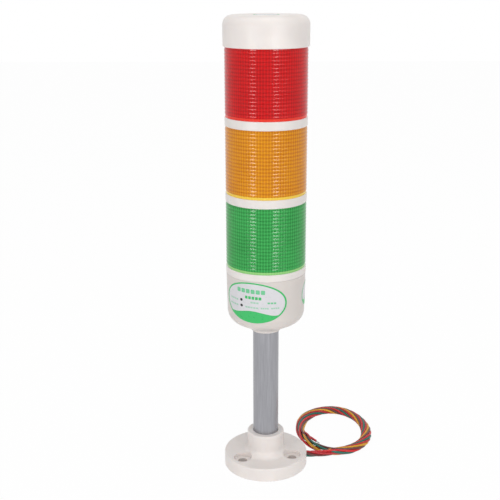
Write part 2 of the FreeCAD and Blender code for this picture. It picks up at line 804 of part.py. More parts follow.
def make_cap():
    foot = size("spigot_height")
    top = foot + size("cap_height")
    label_floor = top - size("cap_label_thickness")
    pocket_floor = top - size("screw_pocket_depth")
    recess = size("cap_label_radius") + size("cap_label_clearance")
    ceiling = top - size("cap_roof")
    post_end = pocket_floor - size("screw_seat_thickness")
    body = turned(
        "top_cap",
        [
            (tie_hole, post_end),
            (size("cap_post_radius"), post_end),
            (size("cap_post_radius"), ceiling),
            (spigot_bore, ceiling),
            (spigot_bore, 0),
            (spigot_radius, 0),
            (spigot_radius, foot),
            (cap_radius, foot),
            (cap_radius, top),
            (recess, top),
            (recess, label_floor),
            (size("screw_pocket_radius"), label_floor),
            (size("screw_pocket_radius"), pocket_floor),
            (tie_hole, pocket_floor),
        ],
    )
    rounded(body, size("cap_edge_round"), [(cap_radius, top)])
    bevelled(body, size("ring_edge_bevel"), [(cap_radius, foot)])
    socket_end = foot + size("web_depth") - size("socket_height")
    add_board_socket(body, "cap", ceiling, ceiling - socket_end, True)
    kept(body, "top_cap", (0, 0, cap_level))

    label = turned(
        "cap_label",
        [
            (0, 0),
            (size("cap_label_radius"), 0),
            (size("cap_label_radius"), size("cap_label_thickness")),
            (0, size("cap_label_thickness")),
        ],
    )
    kept(label, "cap_label", (0, 0, cap_level + label_floor))


def make_tie_screw():
    seat = cap_level + size("spigot_height") + size("cap_height") - size("screw_pocket_depth")
    web_foot = green_level - size("web_depth") - size("web_thickness")
    nut_foot = web_foot - size("tie_nut_thickness")
    shank = seat - nut_foot + size("tie_overhang")
    screw = turned(
        "tie_screw",
        [
            (0, 0),
            (size("tie_radius"), 0),
            (size("tie_radius"), shank),
            (size("tie_head_radius"), shank),
            (size("tie_head_radius"), shank + size("tie_head_height")),
            (0, shank + size("tie_head_height")),
        ],
    )
    kept(screw, "tie_screw", (0, 0, nut_foot - size("tie_overhang")))
    across_flats = size("tie_nut_across_flats")
    make_nut("tie_nut", across_flats, size("tie_nut_thickness"), size("tie_radius"), (0, 0, nut_foot))


# ---------------------------------------------------------------- stickers

STICKER_POINTS = 32

def bowl_side(name, lift=0):
    """The cone that the bowl's side lies on, that much larger all round."""
    cone = document.addObject("Part::Cone", name)
    cone.setExpression("Radius1", text_of(bowl_corner_radius + lift))
    cone.setExpression("Radius2", text_of(size("bowl_rim_radius") + lift))
    cone.setExpression("Height", text_of(size("bowl_rim_height") - size("bowl_corner_height")))
    cone.setExpression("Placement.Base.z", text_of(body_level + size("bowl_corner_height")))
    return cone


def wrapped_oval(half_width, half_height, tilt):
    """The outline of an oval that lies round the bowl, as seen square on from its middle."""
    bend = (SIZES["bowl_rim_radius"] + bowl_corner_radius.value) / 2
    lean = radians(tilt)
    points = []
    for i in range(STICKER_POINTS):
        angle = 2 * pi * i / STICKER_POINTS
        across, above = half_width * cos(angle), half_height * sin(angle)
        along = across * cos(lean) - above * sin(lean)
        points.append(FreeCAD.Vector(bend * sin(along / bend), 0, across * sin(lean) + above * cos(lean)))
    outline = Part.BSplineCurve()
    outline.interpolate(Points=points, PeriodicFlag=True)
    return outline.toShape()


def make_sticker(label, half_width, half_height, height, angle, tilt=0.0):
    """A thin oval sticker wrapped on the bowl's side, facing that way."""
    skin = document.addObject("Part::Cut", f"{label}_skin")
    skin.Base = bowl_side(f"{label}_outside", size("label_thickness"))
    skin.Tool = bowl_side(f"{label}_inside")
    oval = document.addObject("Part::Feature", f"{label}_oval")
    oval.Shape = wrapped_oval(value_of(half_width), value_of(half_height), value_of(tilt))
    facing = FreeCAD.Rotation(FreeCAD.Vector(0, 0, 1), value_of(angle) + 90)
    oval.Placement = FreeCAD.Placement(FreeCAD.Vector(0, 0, 0), facing)
    oval.setExpression("Placement.Base.z", text_of(body_level + height))
    punch = document.addObject("Part::Extrusion", f"{label}_punch")
    punch.Base = oval
    punch.DirMode = "Custom"
    punch.Dir = facing.multVec(FreeCAD.Vector(0, -1, 0))
    punch.Solid = True
    punch.LengthFwd = value_of(size("bowl_rim_radius")) * 2
    punch.setExpression("LengthFwd", text_of(size("bowl_rim_radius") * 2))
    sticker = document.addObject("Part::Common", label)
    sticker.Base = skin
    sticker.Tool = punch
    kept(sticker, label)


# ---------------------------------------------------------------- wires


def vector(x, y, z):
    return FreeCAD.Vector(value_of(x), value_of(y), value_of(z))


def bent_path(points, bends=None):
    """Straight runs joined by tangent arcs, and the arcs' radii. Each arc is as large as its runs allow."""
    edges = []
    radii = []
    here = points[0]
    for i in range(1, len(points) - 1):
        before, after = points[i] - points[i - 1], points[i + 1] - points[i]
        half = before.getAngle(after) / 2
        radius = bends[i - 1] if bends else 0.45 * min(before.Length, after.Length) / tan(half)
        reach = radius * tan(half)
        into, out = before.normalize(), after.normalize()
        start, end = points[i] - into * reach, points[i] + out * reach
        inward = (out - into).normalize()
        middle = points[i] + inward * (radius / cos(half) - radius)
        edges.append(Part.LineSegment(here, start).toShape())
        edges.append(Part.Arc(start, middle, end).toShape())
        radii.append(radius)
        here = end
    edges.append(Part.LineSegment(here, points[-1]).toShape())
    return Part.Wire(edges), radii


def tube(label, path, radius):
    """A solid round tube along a path, with its volume compared with its section times its length."""
    start = path.OrderedVertexes[0].Point
    edge = path.OrderedEdges[0]
    heading = edge.tangentAt(edge.FirstParameter)
    if (edge.valueAt(edge.FirstParameter) - start).Length > 1e-6:
        heading = edge.tangentAt(edge.LastParameter)
    ring = Part.Wire([Part.Circle(start, heading, radius).toShape()])
    solid = path.makePipeShell([ring], True, False)
    due = pi * radius**2 * path.Length
    if abs(solid.Volume - due) > 0.01 * due:
        raise RuntimeError(f"{label} has {solid.Volume:.1f} mm3 and its length calls for {due:.1f}")
    return solid


def add_feature(label, shape):
    feature = document.addObject("Part::Feature", label)
    feature.Shape = shape
    feature.Label = label
    sub_parts.append(feature)


def notch_point(radius):
    angle = radians(SIZES["notch_angle"])
    return vector(radius * cos(angle), radius * sin(angle), SIZES["bundle_height"])


def make_wires():
    mouth = notch_point(SIZES["foot_radius"])
    board_foot = body_level + size("post_top")
    route = [vector(0, 0, board_foot), vector(0, 0, SIZES["bundle_height"]), mouth]
    path, _ = bent_path(route, [SIZES["bundle_bend"]])
    add_feature("pole_wires", tube("pole_wires", path, SIZES["bundle_radius"]))

    coil = coil_solid()
    lead_end = vector(*(SIZES[f"lead_end_{name}"] for name in ("x", "y", "height")))
    lead_route = [mouth, notch_point(SIZES["foot_radius"] + SIZES["lead_run"]), lead_end]
    path, radii = bent_path(lead_route)
    print("wire_lead radii, mm:", [round(r, 1) for r in radii])
    lead = tube("wire_lead", path, SIZES["bundle_radius"])
    add_feature("wire_lead", lead)
    add_feature("wire_coil", coil.cut(lead))

    solder = SIZES["led_board_offset"] + SIZES["led_board_thickness"] / 2
    terminal = board_foot + size("board_thickness")
    hole = wire_hole_circle.value / 2**0.5
    board_side = solder + SIZES["wire_radius"]
    board_edge = SIZES["led_board_width"] / 2 - SIZES["wire_radius"]
    runs = []
    for level, (x, y) in ((green_level, (1, 1)), (amber_level, (-1, 1)), (red_level, (-1, -1))):
        up = level.value + SIZES["spigot_height"]
        route = [
            vector(x * hole, y * hole, terminal),
            vector(x * hole, y * hole, up),
            vector(x * board_side, y * board_edge, up + SIZES["solder_rise"]),
        ]
        path, _ = bent_path(route, [SIZES["wire_bend"]])
        runs.append(tube("section_wires", path, SIZES["wire_radius"]))
    add_feature("section_wires", Part.makeCompound(runs))


def coil_oval(widening):
    """An oval of four arcs on the floor, that much wider all round than the coil's middle line."""
    a, b, end = SIZES["coil_half_width"], SIZES["coil_half_depth"], SIZES["coil_end_radius"]
    drop = b - end
    side = (a**2 + drop**2 - end**2) / (2 * (a - end))
    share = (end + widening) / (side - end)
    meet_x = (side - a) * share
    meet_y = drop + drop * share
    corners = [(x * meet_x, y * meet_y) for x, y in ((1, 1), (-1, 1), (-1, -1), (1, -1))]
    middles = [(0, b + widening), (-a - widening, 0), (0, -b - widening), (a + widening, 0)]
    centre = vector(size("coil_centre_x"), size("coil_centre_y"), 0)
    edges = []
    for i in range(4):
        three = (corners[i], middles[i], corners[(i + 1) % 4])
        edges.append(Part.Arc(*(centre + FreeCAD.Vector(x, y, 0) for x, y in three)).toShape())
    return Part.Face(Part.Wire(edges))


def coil_solid():
    """The outer shape of the coil: an oval ring with its four long edges cut back."""
    half = SIZES["coil_width"] / 2
    flat = coil_oval(half).cut(coil_oval(-half))
    ring = flat.extrude(FreeCAD.Vector(0, 0, SIZES["coil_height"]))
    level_edges = [e for e in ring.Edges if abs(e.BoundBox.ZLength) < 1e-6]
    return ring.makeChamfer(SIZES["coil_height"] / 2 * (1 - tan(pi / 8)), level_edges)


# ---------------------------------------------------------------- the whole

make_base()
make_pole()
make_pole_fixing()
make_body()
make_driver()
make_ring("body_collar", size("collar_height"), collar_level, False)
next_ring = size("lens_height") - size("spigot_height")
make_ring("lower_separator", size("ring_height"), green_level + next_ring, True)
make_ring("upper_separator", size("ring_height"), amber_level + next_ring, True)
for colour, level in (("green", green_level), ("amber", amber_level), ("red", red_level)):
    make_lens(f"{colour}_lens", level)
    make_led_section(colour, level)
make_cap()
make_tie_screw()
make_sticker(
    "front_label",
    size("front_label_half_width"),
    size("front_label_half_height"),
    size("front_label_height"),
    size("front_label_angle"),
    size("front_label_tilt"),
)
make_sticker(
    "side_label",
    size("side_label_radius"),
    size("side_label_radius"),
    size("side_label_height"),
    size("side_label_angle"),
)
make_wires()

document.recompute()
for thing in document.Objects:
    if {"Invalid", "Error"} & set(thing.State):
        raise RuntimeError(f"{thing.Name} is {thing.State}")
for piece in sub_parts:
    if piece.Shape.isNull() or not piece.Shape.isValid() or not piece.Shape.Solids:
        raise RuntimeError(f"{piece.Label} has no sound solid")

os.makedirs("parts", exist_ok=True)
for piece in sub_parts:
    piece.Shape.exportStep(f"parts/{piece.Label}.step")
    solids = len(piece.Shape.Solids)
    print(f"{piece.Label}: {solids} solid(s), {piece.Shape.Volume:.1f} mm3")
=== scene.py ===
import json
from math import cos, pi, radians, sin, sqrt

import bpy
import numpy as np
from mathutils import Matrix, Vector

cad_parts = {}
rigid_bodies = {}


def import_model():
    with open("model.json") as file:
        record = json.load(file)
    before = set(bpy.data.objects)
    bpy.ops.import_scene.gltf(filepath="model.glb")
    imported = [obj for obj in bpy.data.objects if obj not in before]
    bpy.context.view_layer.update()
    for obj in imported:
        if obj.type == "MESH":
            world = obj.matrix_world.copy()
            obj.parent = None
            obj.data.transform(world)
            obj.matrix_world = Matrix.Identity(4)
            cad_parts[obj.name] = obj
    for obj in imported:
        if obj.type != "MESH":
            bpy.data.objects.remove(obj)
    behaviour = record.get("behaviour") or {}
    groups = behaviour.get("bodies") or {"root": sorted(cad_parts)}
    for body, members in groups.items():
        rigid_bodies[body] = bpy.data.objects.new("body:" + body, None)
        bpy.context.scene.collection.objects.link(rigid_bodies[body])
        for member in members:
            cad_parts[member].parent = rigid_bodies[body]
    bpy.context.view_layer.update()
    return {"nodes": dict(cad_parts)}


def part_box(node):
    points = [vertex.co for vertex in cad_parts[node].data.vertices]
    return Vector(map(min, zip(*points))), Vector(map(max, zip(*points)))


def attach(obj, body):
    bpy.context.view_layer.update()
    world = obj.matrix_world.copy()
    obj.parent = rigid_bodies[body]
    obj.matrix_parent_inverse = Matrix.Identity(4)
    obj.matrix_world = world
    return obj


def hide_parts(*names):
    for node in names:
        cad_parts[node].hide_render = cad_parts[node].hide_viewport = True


for spare in list(bpy.data.objects):
    bpy.data.objects.remove(spare)
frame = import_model()
scene = bpy.context.scene
nodes = frame["nodes"]
MM = 0.001


def mm(*values):
    return tuple(v * MM for v in values)


# ---------------------------------------------------------------- camera

CAMERA_PLACE = mm(0.0, -552.1, 313.7)
CAMERA_PITCH = 0.2911
CAMERA_YAW = -0.0182
CAMERA_ROLL = -0.0039
LENS_MM = 65.94

camera_data = bpy.data.cameras.new("camera")
camera_data.lens = LENS_MM
camera_data.sensor_width = 36.0
camera_data.clip_start = 0.01
camera = bpy.data.objects.new("camera", camera_data)
scene.collection.objects.link(camera)
across, down = cos(CAMERA_PITCH), sin(CAMERA_PITCH)
ahead = Vector((sin(CAMERA_YAW) * across, cos(CAMERA_YAW) * across, -down))
level = Vector((cos(CAMERA_YAW), -sin(CAMERA_YAW), 0.0))
upright = level.cross(ahead)
right = level * cos(CAMERA_ROLL) + upright * sin(CAMERA_ROLL)
up = upright * cos(CAMERA_ROLL) - level * sin(CAMERA_ROLL)
turn = Matrix((right, up, -ahead)).transposed()
camera.matrix_world = Matrix.Translation(CAMERA_PLACE) @ turn.to_4x4()
scene.camera = camera


# ---------------------------------------------------------------- material helpers


class Graph:
    """A material's nodes, made with short calls."""

    def __init__(self, name):
        self.material = bpy.data.materials.new(name)
        self.material.use_nodes = True
        self.tree = self.material.node_tree
        self.shader = self.tree.nodes["Principled BSDF"]
        self.output = self.tree.nodes["Material Output"]

    def add(self, kind, **settings):
        node = self.tree.nodes.new(kind)
        for key, value in settings.items():
            setattr(node, key, value)
        return node

    def link(self, source, target):
        self.tree.links.new(source, target)

    def set(self, **values):
        for key, value in values.items():
            self.shader.inputs[key.replace("_", " ")].default_value = value

    def place(self, scale=(1, 1, 1)):
        """Object coordinates in millimetres, stretched."""
        coordinates = self.add("ShaderNodeTexCoord")
        mapping = self.add("ShaderNodeMapping")
        mapping.inputs["Scale"].default_value = [1000 * s for s in scale]
        self.link(coordinates.outputs["Object"], mapping.inputs["Vector"])
        return mapping.outputs["Vector"]

    def maths(self, operation, *values):
        """One Math node: each value is a number or another node's output."""
        node = self.add("ShaderNodeMath", operation=operation)
        for socket, value in zip(node.inputs, values):
            if isinstance(value, (int, float)):
                socket.default_value = value
            else:
                self.link(value, socket)
        return node.outputs[0]

    def noise(self, place, scale, detail=2.0, roughness=0.5):
        noise = self.add("ShaderNodeTexNoise")
        noise.inputs["Scale"].default_value = scale
        noise.inputs["Detail"].default_value = detail
        noise.inputs["Roughness"].default_value = roughness
        self.link(place, noise.inputs["Vector"])
        return noise.outputs["Fac"]

    def ramp(self, source, stops):
        """Colours or greys against a value, from (position, colour) stops."""
        ramp = self.add("ShaderNodeValToRGB")
        elements = ramp.color_ramp.elements
        while len(elements) < len(stops):
            elements.new(0.5)
        for element, (position, colour) in zip(elements, stops):
            element.position = position
            element.color = (*colour, 1.0) if len(colour) == 3 else colour
        self.link(source, ramp.inputs["Fac"])
        return ramp.outputs["Color"]

    def grey(self, source, low, high, start=0.3, end=0.7):
        return self.ramp(source, [(start, (low,) * 3), (end, (high,) * 3)])

    def bump(self, height, strength, distance):
        bump = self.add("ShaderNodeBump")
        bump.inputs["Strength"].default_value = strength
        bump.inputs["Distance"].default_value = distance * MM
        self.link(height, bump.inputs["Height"])
        self.link(bump.outputs["Normal"], self.shader.inputs["Normal"])


def linear(*srgb):
    """A colour given as 0-255 sRGB, as Blender's linear numbers."""
    return tuple((c / 255 / 12.92) if c <= 10 else ((c / 255 + 0.055) / 1.055) ** 2.4 for c in srgb)


def mixed(a, b, share):
    return tuple(x + (y - x) * share for x, y in zip(a, b))


def plastic(name, colour, roughness=0.38, grain=0.03, tint=0.06):
    """Moulded plastic: faint clouding of the colour, a fine grain, and wear in the gloss."""
    graph = Graph(name)
    place = graph.place()
    cloud = graph.noise(place, 0.07, 3.0)
    clouded = graph.ramp(cloud, [(0.3, mixed(colour, (0, 0, 0), tint)), (0.7, colour)])
    graph.link(clouded, graph.shader.inputs["Base Color"])
    wear = graph.grey(graph.noise(place, 0.25, 4.0), roughness - 0.06, roughness + 0.06)
    graph.link(wear, graph.shader.inputs["Roughness"])
    graph.bump(graph.noise(place, 5.0, 2.0), 0.35, grain)
    return graph


# ---------------------------------------------------------------- materials

WHITE = linear(236, 229, 225)
RING_WHITE = linear(233, 227, 223)
# the same white plastic, painted darker on the body housing as painted shade
BODY_PAINTED_SHADE_WHITE = linear(219, 212, 207)

white = plastic("moulded_white", WHITE, 0.40)
ring_white = plastic("moulded_ring_white", RING_WHITE, 0.36)
body_painted_shade_white = plastic("moulded_body_painted_shade_white", BODY_PAINTED_SHADE_WHITE, 0.40)
for graph in (white, ring_white, body_painted_shade_white):
    graph.set(Subsurface_Weight=0.12, Subsurface_Scale=0.0015, Subsurface_Radius=(1.0, 0.7, 0.5))


def brushed_aluminium():
    graph = Graph("brushed_aluminium")
    streaks = graph.place((1.0, 1.0, 0.012))
    grain = graph.noise(streaks, 4.0, 4.0, 0.7)
    metal = graph.ramp(grain, [(0.25, linear(140, 140, 145)), (0.75, linear(178, 178, 183))])
    graph.link(metal, graph.shader.inputs["Base Color"])
    graph.link(graph.grey(graph.noise(streaks, 7.0, 3.0), 0.30, 0.44), graph.shader.inputs["Roughness"])
    graph.set(Metallic=1.0)
    graph.bump(grain, 0.25, 0.02)
    return graph.material


def zinc_steel():
    graph = Graph("zinc_steel")
    place = graph.place()
    dull, bright = linear(150, 152, 150), linear(196, 198, 200)
    metal = graph.ramp(graph.noise(place, 0.6, 3.0), [(0.3, dull), (0.7, bright)])
    graph.link(metal, graph.shader.inputs["Base Color"])
    graph.link(graph.grey(graph.noise(place, 1.5, 3.0), 0.25, 0.45), graph.shader.inputs["Roughness"])
    graph.set(Metallic=1.0)
    graph.bump(graph.noise(place, 3.0, 2.0), 0.2, 0.02)
    return graph.material


def circuit_board():
    """Green solder mask over a copper pattern of straight tracks."""
    graph = Graph("circuit_board")
    brick = graph.add("ShaderNodeTexBrick", offset=0.37, squash=1.4)
    layout = {"Scale": 0.35, "Mortar Size": 0.06, "Brick Width": 1.1, "Row Height": 0.35}
    for key, value in layout.items():
        brick.inputs[key].default_value = value
    brick.inputs["Color1"].default_value = (*linear(28, 92, 48), 1)
    brick.inputs["Color2"].default_value = (*linear(34, 104, 56), 1)
    brick.inputs["Mortar"].default_value = (*linear(70, 140, 78), 1)
    graph.link(graph.place(), brick.inputs["Vector"])
    graph.link(brick.outputs["Color"], graph.shader.inputs["Base Color"])
    graph.set(Roughness=0.35)
    graph.bump(brick.outputs["Fac"], 0.4, 0.04)
    return graph.material


def lens_plastic(name, colour, groove_shade, foot, pitch):
    """Clear coloured plastic, with a faint lattice of painted light and shade over the grooves inside and
    the ribs outside.
    """
    graph = Graph(name)
    place = graph.place()
    parts = graph.add("ShaderNodeSeparateXYZ")
    graph.link(place, parts.inputs[0])
    turned = graph.maths("ARCTAN2", parts.outputs["Y"], parts.outputs["X"])
    flute = graph.maths("COSINE", graph.maths("MULTIPLY", turned, FLUTES))
    rib_phase = graph.maths("MULTIPLY_ADD", parts.outputs["Z"], 2 * pi / pitch, -2 * pi * foot / pitch)
    rib = graph.maths("COSINE", rib_phase)
    # a painted lattice of light and shade: darker in the ribs' grooves, and lighter and darker in turn
    # across the flutes
    lattice = graph.maths("MULTIPLY_ADD", flute, LATTICE_FLUTE, 0.5)
    lattice = graph.maths("ADD", lattice, graph.maths("MULTIPLY", rib, -LATTICE_RIB))
    haze = graph.maths("MULTIPLY_ADD", graph.noise(place, 0.08, 3.0), 0.5, -0.25)
    # the base colour, with the painted shade where the lattice is low
    depth = graph.ramp(graph.maths("ADD", lattice, haze), [(0.0, groove_shade), (1.0, colour)])
    graph.link(depth, graph.shader.inputs["Base Color"])
    graph.link(graph.grey(graph.noise(place, 0.3, 3.0), 0.10, 0.15), graph.shader.inputs["Roughness"])
    graph.set(Transmission_Weight=LENS_CLEARNESS, IOR=LENS_INDEX, Specular_IOR_Level=LENS_GLOSS)
    graph.bump(graph.noise(place, 0.35, 2.0), 0.2, 0.03)
    return graph.material


def film(name, colour, roughness=0.3):
    """Printed or plain sticker film, a little uneven."""
    graph = Graph(name)
    place = graph.place()
    uneven = graph.ramp(graph.noise(place, 0.2, 3.0), [(0.3, mixed(colour, (0, 0, 0), 0.05)), (0.7, colour)])
    graph.link(uneven, graph.shader.inputs["Base Color"])
    wear = graph.grey(graph.noise(place, 0.8, 3.0), roughness - 0.05, roughness + 0.08)
    graph.link(wear, graph.shader.inputs["Roughness"])
    graph.bump(graph.noise(place, 1.2, 3.0), 0.25, 0.02)
    return graph.material


def insulation(name, colour):
    """Extruded wire insulation: fine marks and handling dirt."""
    graph = Graph(name)
    place = graph.place()
    handled = mixed(colour, (0, 0, 0), 0.18)
    marked = graph.ramp(graph.noise(place, 0.5, 4.0), [(0.28, handled), (0.62, colour)])
    graph.link(marked, graph.shader.inputs["Base Color"])
    graph.link(graph.grey(graph.noise(place, 1.0, 3.0), 0.30, 0.46), graph.shader.inputs["Roughness"])
    graph.bump(graph.noise(place, 3.0, 3.0), 0.3, 0.03)
    return graph.material


# colour over the ribs' crests, painted shade for the grooves, painted glow for the plain band at the foot
LENS_COLOURS_AND_PAINTED_LIGHT = {
    "green": (linear(66, 186, 92), linear(34, 134, 58), linear(160, 222, 134)),
    "amber": (linear(240, 162, 16), linear(202, 114, 2), linear(255, 220, 84)),
    "red": (linear(228, 14, 18), linear(178, 2, 8), linear(248, 62, 44)),
}
FILM_WHITE = linear(218, 217, 221)
PRINT_GREEN = linear(54, 190, 102)
WIRE_COLOURS = {
    "red": linear(212, 26, 36),
    "yellow": linear(226, 164, 18),
    "green": linear(8, 104, 88),
    "brown": linear(104, 50, 46),
    "crimson": linear(188, 22, 34),
}

film_white = film("label_film", FILM_WHITE)
print_green = film("print_green", PRINT_GREEN)
print_pale_green = film("print_pale_green", linear(112, 200, 148))
print_faint_green = film("print_faint_green", linear(164, 210, 184))
print_black = film("print_black", linear(24, 24, 26), 0.35)
wire_materials = {name: insulation(f"insulation_{name}", colour) for name, colour in WIRE_COLOURS.items()}
led_resin = plastic("led_resin", linear(244, 240, 208), 0.25, 0.01).material
black_moulding = plastic("black_moulding", linear(30, 30, 32), 0.42).material
steel = zinc_steel()
board = circuit_board()

FINISHES = {
    "base_foot": white.material,
    "body_housing": body_painted_shade_white.material,
    "top_cap": white.material,
    "body_collar": ring_white.material,
    "lower_separator": ring_white.material,
    "upper_separator": ring_white.material,
    "pole_tube": brushed_aluminium(),
    "driver_board": board,
    "board_components": black_moulding,
    "buzzer": black_moulding,
    "front_label": film_white,
    "side_label": film_white,
    "cap_label": film_white,
    "section_wires": wire_materials["yellow"],
    "pole_wires": wire_materials["red"],
}
for name in ("pole_washer", "pole_nut", "tie_nut", "tie_screw"):
    FINISHES[name] = steel
for number in (1, 2, 3):
    FINISHES[f"board_screw_{number}"] = steel
for colour in LENS_COLOURS_AND_PAINTED_LIGHT:
    FINISHES[f"{colour}_led_boards"] = board
    FINISHES[f"{colour}_leds"] = led_resin
for name, material in FINISHES.items():
    for place in nodes[name].material_slots:
        place.material = material


# ---------------------------------------------------------------- mesh helpers


def add_mesh(name, points, faces, material, sharp_angle=35.0):
    """A new piece from points in millimetres, shaded smooth except at sharp edges."""
    mesh = bpy.data.meshes.new(name)
    in_metres = [tuple(float(c) * MM for c in p) for p in points]
    mesh.from_pydata(in_metres, [], [tuple(int(i) for i in f) for f in faces])
    mesh.polygons.foreach_set("use_smooth", [True] * len(mesh.polygons))
    mesh.set_sharp_from_angle(angle=radians(sharp_angle))
    mesh.materials.append(material)
    piece = bpy.data.objects.new(name, mesh)
    scene.collection.objects.link(piece)
    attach(piece, "root")
    return piece


def ring_faces(rows, around):
    """Quads between rows of points that each go once round."""
    faces = []
    for row in range(rows - 1):
        for i in range(around):
            a, b = row * around + i, row * around + (i + 1) % around
            faces.append((a, b, b + around, a + around))
    return faces


# ---------------------------------------------------------------- lenses

RIB_COUNT = 18
RIB_RISE = 0.22
RIB_CREST = 0.14
RIB_FOOT = 0.03
RIB_FOOT_DROP = 0.5
ROW_SPREAD = 0.9
ROWS_PER_RIB = 6
FLUTES = 90
STEPS_PER_FLUTE = 4
FLUTE_DEPTH = 0.40
LENS_RADIUS = 25.0
LENS_BAND_RADIUS = 24.75
LENS_BORE = 22.7
LENS_SOCKET = 23.2
SOCKET_DEPTH = 3.3
FOOT_BAND = 1.7
TOP_BAND = 0.9
EDGE_BEVEL = 0.15
# LATTICE_FLUTE and LATTICE_RIB set how strong the lattice's painted light and shade is
LATTICE_FLUTE = 0.30
LATTICE_RIB = 0.22
LENS_CLEARNESS = 0.12
LENS_GLOSS = 0.18
LENS_INDEX = 1.55


def lens_rows(height, pitch):
    """The closed outline of a lens as (radius, height above its foot, share of the flutes' depth)."""
    rows = [(LENS_BAND_RADIUS - EDGE_BEVEL, 0.0, 0), (LENS_BAND_RADIUS, EDGE_BEVEL, 0)]
    rows += [(LENS_BAND_RADIUS, FOOT_BAND, 0)]
    for rib in range(RIB_COUNT):
        for step in range(ROWS_PER_RIB):
            if step:
                up_the_slope = (step / (ROWS_PER_RIB - 1)) ** ROW_SPREAD
                share = up_the_slope * (1 - RIB_CREST) + RIB_CREST
                drop = RIB_RISE * ((share - RIB_CREST) / (1 - RIB_CREST)) ** 2
            else:
                share, drop = RIB_FOOT, RIB_RISE * RIB_FOOT_DROP
            rows.append((LENS_RADIUS - drop, FOOT_BAND + (rib + share) * pitch, 0))
    rows += [(LENS_BAND_RADIUS, height - TOP_BAND, 0), (LENS_BAND_RADIUS, height - EDGE_BEVEL, 0)]
    rows += [(LENS_BAND_RADIUS - EDGE_BEVEL, height, 0)]
    rows += [(LENS_SOCKET, height, 0), (LENS_SOCKET, height - SOCKET_DEPTH, 0)]
    rows += [(LENS_BORE, height - SOCKET_DEPTH, 1), (LENS_BORE, SOCKET_DEPTH, 1)]
    rows += [(LENS_SOCKET, SOCKET_DEPTH, 0), (LENS_SOCKET, 0.0, 0)]
    return rows


def make_lens(colour):
    """The ribbed and fluted lens that stands for the CAD's plain one, with a smooth band at its foot whose
    brighter colour is a painted glow.
    """
    node = f"{colour}_lens"
    low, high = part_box(node)
    foot = low.z / MM
    height = (high.z - low.z) / MM
    pitch = (height - FOOT_BAND - TOP_BAND) / RIB_COUNT
    rows = lens_rows(height, pitch)
    around = FLUTES * STEPS_PER_FLUTE
    points = []
    for radius, z, fluted in rows:
        for i in range(around):
            angle = 2 * pi * i / around
            wave = 0.5 - 0.5 * cos(FLUTES * angle)
            r = radius + FLUTE_DEPTH * wave * fluted
            points.append((r * cos(angle), r * sin(angle), foot + z))
    faces = ring_faces(len(rows), around)
    last = (len(rows) - 1) * around
    faces += [(last + i, last + (i + 1) % around, (i + 1) % around, i) for i in range(around)]
    # groove is the painted shade in the grooves, and band is the painted glow of the foot band
    crest, groove, band = LENS_COLOURS_AND_PAINTED_LIGHT[colour]
    plastic_of_ribs = lens_plastic(f"{colour}_lens_plastic", crest, groove, foot + FOOT_BAND, pitch)
    # the foot band: a painted glow, with its own painted shade in the lattice
    glow_band_shade = mixed(band, crest, 0.25)
    painted_glow_band_plastic = lens_plastic(f"{colour}_lens_foot_band_painted_glow", band, glow_band_shade, foot, pitch)
    piece = add_mesh(f"{colour}_lens_ribbed", points, faces, plastic_of_ribs, 35.0)
    piece.data.materials.append(painted_glow_band_plastic)
    for face in list(piece.data.polygons)[: 2 * around]:
        face.material_index = 1
    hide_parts(node)


for colour in LENS_COLOURS_AND_PAINTED_LIGHT:
    make_lens(colour)


# ---------------------------------------------------------------- printing on the stickers

BODY_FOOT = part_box("body_housing")[0].z / MM
BOWL_CORNER = (24.35, BODY_FOOT + 8.85)
BOWL_RIM = (24.95, BODY_FOOT + 39.3)
BOWL_MEAN_RADIUS = 24.8
LABEL_THICKNESS = 0.15
PRINT_LIFT = 0.03


def on_bowl(arc, z, lift):
    """The point of the bowl's side at an arc length round from the front, in mm, and a height."""
    share = (z - BOWL_CORNER[1]) / (BOWL_RIM[1] - BOWL_CORNER[1])
    radius = BOWL_CORNER[0] + (BOWL_RIM[0] - BOWL_CORNER[0]) * share
    angle = arc / BOWL_MEAN_RADIUS - pi / 2
    return ((radius + lift) * cos(angle), (radius + lift) * sin(angle), z)


def print_strip(name, columns, rows, material, lift, place=on_bowl):
    """A printed shape between two lines, given as (low point, high point) pairs on the label."""
    points = []
    for low, high in columns:
        for r in range(rows + 1):
            share = r / rows
            x = low[0] + (high[0] - low[0]) * share
            y = low[1] + (high[1] - low[1]) * share
            points.append(place(x, y, lift))
    faces = []
    for c in range(len(columns) - 1):
        for r in range(rows):
            a = c * (rows + 1) + r
            faces.append((a, a + rows + 1, a + rows + 2, a + 1))
    piece = add_mesh(name, points, faces, material)
    return piece


def ellipse_points(centre, half_width, half_height, tilt, count):
    points = []
    for i in range(count + 1):
        a = 2 * pi * i / count
        x, y = half_width * cos(a), half_height * sin(a)
        turned = (x * cos(tilt) - y * sin(tilt), x * sin(tilt) + y * cos(tilt))
        points.append((centre[0] + turned[0], centre[1] + turned[1]))
    return points


def smooth_line(knots, x):
    """A smooth line through knots, at x."""
    xs = [k[0] for k in knots]
    ys = [k[1] for k in knots]
    i = max(0, min(len(xs) - 2, int(np.searchsorted(xs, x)) - 1))
    span = xs[i + 1] - xs[i]
    t = (x - xs[i]) / span
    slopes = np.gradient(ys, xs)
    h = (2 * t**3 - 3 * t**2 + 1, t**3 - 2 * t**2 + t, -2 * t**3 + 3 * t**2, t**3 - t**2)
    return h[0] * ys[i] + h[1] * span * slopes[i] + h[2] * ys[i + 1] + h[3] * span * slopes[i + 1]


LABEL_ARC = -8.35
LABEL_Z = BODY_FOOT + 25.6
LABEL_HALF = (21.85, 13.1)
LABEL_TILT = radians(-1.2)
INNER_HALF = (20.7, 12.25)


